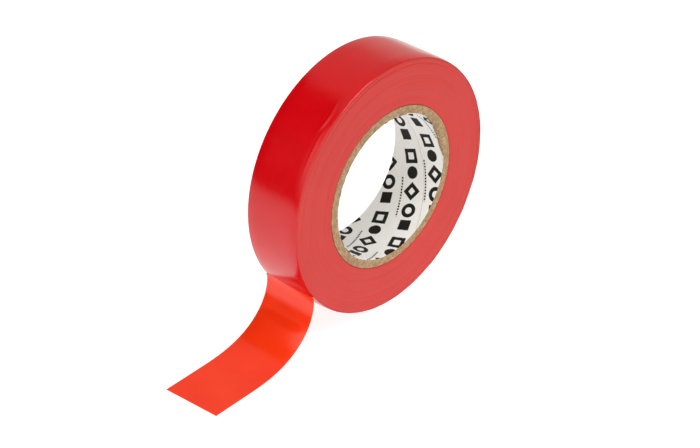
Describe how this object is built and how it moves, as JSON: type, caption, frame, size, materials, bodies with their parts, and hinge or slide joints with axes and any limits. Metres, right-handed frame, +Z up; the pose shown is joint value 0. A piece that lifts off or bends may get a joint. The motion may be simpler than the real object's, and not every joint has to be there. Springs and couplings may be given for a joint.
{
  "type": "electrical tape roll",
  "caption": "Roll of narrow electrical tape on a printed paper core, standing on its rim with the free end peeled off and laid flat in front.",
  "frame": {"origin": "middle of the base of the bounding box, on the surface that the roll and its free end rest on", "axes": "+X along the roll's axis, out of the side face that shows; the free end points to -Y; +Z up"},
  "size_m": [0.015, 0.0896, 0.0622],
  "materials": {
    "liner": "matte printed paper",
    "kraft": "matte kraft board, fibrous",
    "wound_film": "slit edges of many turns, satin",
    "film": "glossy smooth vinyl",
    "tail_film": "glossy thin vinyl, slightly see-through",
    "adhesive": "soft tacky coat, satin"
  },
  "bodies": {
    "outer_turn": {"outer_turn_film": "film", "outer_turn_adhesive": "adhesive"},
    "roll": {"wound_tape": "wound_film", "core_outer_ply": "kraft", "core_middle_ply": "kraft", "core_inner_ply": "kraft", "core_liner": "liner"},
    "lead": {"lead_film": "tail_film", "lead_adhesive": "adhesive"},
    "tail_run": {"run_film": "tail_film", "run_adhesive": "adhesive"},
    "tail_tip": {"tip_film": "tail_film", "tip_adhesive": "adhesive"}
  },
  "joints": [
    {"name": "roll_spin", "type": "hinge", "parent": "outer_turn", "child": "roll", "pos_m": [0, 0.0137, 0.03108], "axis": [1, 0, 0], "range_deg": [0, 360]},
    {"name": "peel_swing", "type": "hinge", "parent": "outer_turn", "child": "lead", "pos_m": [0, -0.01271, 0.01466], "axis": [-1, 0, 0], "range_deg": [0, 60]},
    {"name": "tail_payout", "type": "slide", "parent": "lead", "child": "tail_run", "axis": [0, -1, 0], "range_m": [0, 0.1955]},
    {"name": "tip_lift", "type": "hinge", "parent": "tail_run", "child": "tail_tip", "pos_m": [0, -0.0378, 0.00018], "axis": [-1, 0, 0], "range_deg": [0, 90]}
  ],
  "couplings": [
    {"joint": "tail_payout", "follows": "roll_spin", "m_per_rad": 0.0311}
  ]
}
